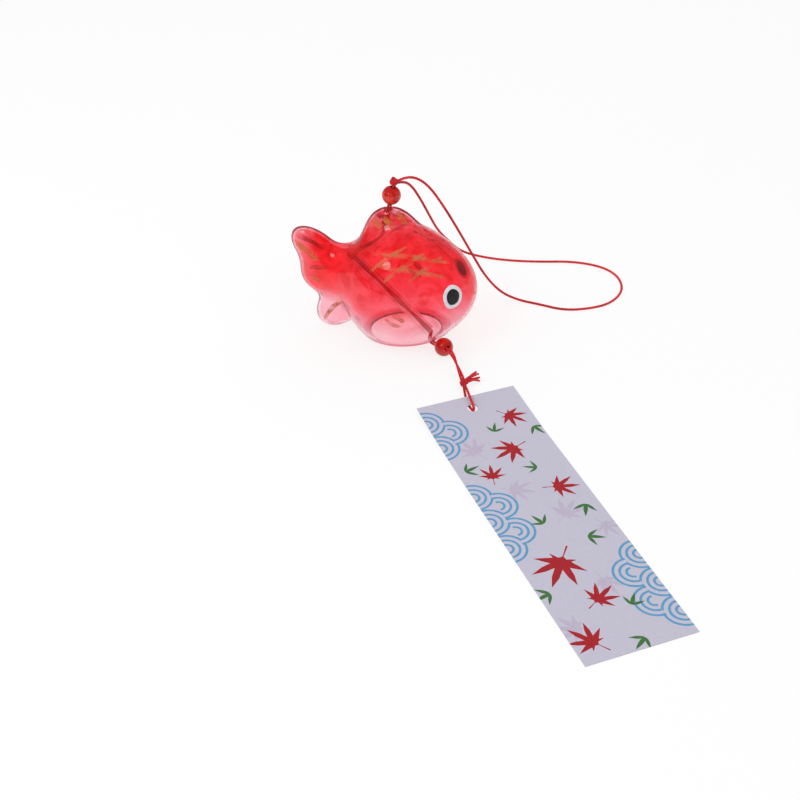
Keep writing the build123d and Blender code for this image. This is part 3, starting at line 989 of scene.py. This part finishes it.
def cords():
    """Every stretch of cord and every knot, from the hanging loop down to the strip."""
    loop_line = even_points(spline_points(HANGING_LOOP), CORD_STEP)
    loop = cord_piece("hanging_cord", rope_mesh(loop_line, CORD_RADIUS), "hanging_loop", "hanging_loop")
    neck_axis = joint_axis("top_bead_spin")
    top, stopper, head = (node_centre(n) for n in ("top_knot", "stopper_knot", "tube_knot"))
    leaving = neck_axis + Vector(loop_line[LEAVING_POINT] - loop_line[0]).normalized()
    cord_piece("top_tie", knot_mesh(top, leaving, KNOT_RADIUS), "hanging_loop", "top_knot")
    stopper_tie = knot_mesh(stopper, neck_axis, KNOT_RADIUS, STOPPER_TURN)
    cord_piece("stopper_tie", stopper_tie, "bell", "stopper_knot")
    neck_line = even_points(np.array((stopper, top)), CORD_STEP)
    cord_piece("neck", pair_mesh(neck_line), "bell", "neck_cord")

    tube_axis = joint_axis("tube_spin")
    clapper_tie = knot_mesh(head, tube_axis, KNOT_RADIUS, CLAPPER_TURN)
    cord_piece("clapper_tie", clapper_tie, "clapper_cord", "tube_knot")
    tube_low, tube_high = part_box("tube_cord")
    foot = Vector((tube_high.x, tube_low.y, tube_low.z)) / MM
    tube_end = head + tube_axis * (foot - head).dot(tube_axis)
    tube_line = even_points(np.array((head, tube_end)), CORD_STEP)
    cord_piece("clapper_cord", pair_mesh(tube_line), "clapper_cord", "tube_cord")

    inner_line = even_points(spline_points([*stand(INNER_CORD), head]), CORD_STEP)
    inner = add_mesh("inner_cord_pair", *pair_mesh(inner_line), [CORD])
    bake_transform(inner)
    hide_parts("inner_cord")

    bead, bead_axis = joint_place("lower_bead_spin"), joint_axis("lower_bead_spin")
    way_in, way_out = bead - bead_axis * BEAD_LEAD, bead + bead_axis * BEAD_RADIUS
    rim_route = [tuple(tube_line[-1]), *RIM_CORD, way_in, way_out]
    rim_line = even_points(spline_points(rim_route), SHORT_STEP)
    rim = add_mesh("rim_cord_pair", *pair_mesh(rim_line), [CORD])
    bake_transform(rim)
    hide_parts("rim_cord")

    knot = node_centre("strip_knot")
    strip_line = even_points(spline_points([way_out, *STRIP_CORD, tuple(knot)]), SHORT_STEP)
    strip_pair = pair_mesh(strip_line[:-CORD_END_TRIM], STRIP_PAIR_TURN)
    cord_piece("strip_cord_pair", strip_pair, "strip_cord", "strip_cord")
    arriving = strip_line[-1] - strip_line[-KNOT_APPROACH]
    cord_piece("strip_tie", knot_mesh(knot, arriving, KNOT_RADIUS), "strip_cord", "strip_knot")
    tails = []
    for index, route in enumerate(CORD_TAILS):
        line = even_points(spline_points([tuple(knot), *route]), SHORT_STEP)
        tails.append(frayed_mesh(line, CORD_RADIUS, index))
    cord_piece("frayed_tails", joined(tails), "strip_cord", "cord_tails")
    loop_route = [strip_place(*point) for point in STRIP_LOOP]
    tie_line = even_points(spline_points([tuple(knot), *loop_route, tuple(knot)]), TIE_STEP)
    tie_line = tie_line[TIE_END_TRIM:-TIE_END_TRIM]
    cord_piece("strip_tie_loop", rope_mesh(tie_line, CORD_RADIUS), "paper_strip", "strip_loop")


def floor():
    """A pale floor that stays white to the eye and keeps the shadow."""
    bpy.ops.mesh.primitive_plane_add(size=FLOOR_SIZE)
    plane = bpy.context.object
    plane.name = "floor"
    material, add, link, surface = new_material("floor")
    rays = add("ShaderNodeLightPath").outputs
    seen = reckon(add, link, "MAXIMUM", rays["Is Camera Ray"], rays["Is Glossy Ray"])
    seen = reckon(add, link, "MAXIMUM", seen, rays["Is Transmission Ray"])
    share = set_inputs(add("ShaderNodeMath", operation="MULTIPLY"), {1: FLOOR_WHITE})
    link(seen, share.inputs[0])
    matt = set_inputs(add("ShaderNodeBsdfDiffuse"), {"Color": (FLOOR_GREY, FLOOR_GREY, FLOOR_GREY, 1)})
    white = set_inputs(add("ShaderNodeEmission"), {"Strength": 1.0})
    mix = mixed(add, link, matt, white)
    link(share.outputs[0], mix.inputs["Fac"])
    link(mix.outputs[0], surface)
    plane.data.materials.append(material)


def surroundings():
    """White all round to the eye and through glass, softer as a light, dimmer in gloss."""
    world = bpy.data.worlds.new("studio")
    bpy.context.scene.world = world
    world.use_nodes = True
    add, link = node_tools(world.node_tree)
    background = set_inputs(world.node_tree.nodes["Background"], {"Color": (1, 1, 1, 1)})
    rays = add("ShaderNodeLightPath").outputs
    seen = reckon(add, link, "MAXIMUM", rays["Is Camera Ray"], rays["Is Transmission Ray"])
    white = set_inputs(add("ShaderNodeMath", operation="MULTIPLY_ADD"), {1: 1 - SKY, 2: SKY})
    link(seen, white.inputs[0])
    mirrored = reckon(
        add, link, "SUBTRACT", rays["Is Glossy Ray"], rays["Is Transmission Ray"], use_clamp=True)
    dimmed = set_inputs(add("ShaderNodeMath", operation="MULTIPLY_ADD"), {1: MIRRORED_SKY - SKY})
    link(mirrored, dimmed.inputs[0])
    link(white.outputs[0], dimmed.inputs[2])
    link(dimmed.outputs[0], background.inputs["Strength"])


def aimed(name, data, place, target):
    """A lamp or camera at a place, turned to a target."""
    holder = bpy.data.objects.new(name, data)
    holder.location = Vector(place) * MM
    holder.rotation_euler = (Vector(target) - Vector(place)).to_track_quat("-Z", "Y").to_euler()
    bpy.context.scene.collection.objects.link(holder)
    return holder


def lamps_and_camera():
    """Round lamps, and the camera that the render is framed from."""
    for name, place, size, power, glossy in LAMPS:
        lamp = bpy.data.lights.new(name, "AREA")
        lamp.shape = "DISK"
        lamp.size = size * MM
        lamp.energy = power
        aimed(name, lamp, place, LAMP_TARGET).visible_glossy = glossy
    lens = bpy.data.cameras.new("camera")
    lens.angle = radians(CAMERA_ANGLE)
    bpy.context.scene.camera = aimed("camera", lens, CAMERA_PLACE, CAMERA_TARGET)
    bpy.context.scene.view_settings.view_transform = "Standard"


glass_pieces()
cords()
paper_strip()
floor()
surroundings()
lamps_and_camera()
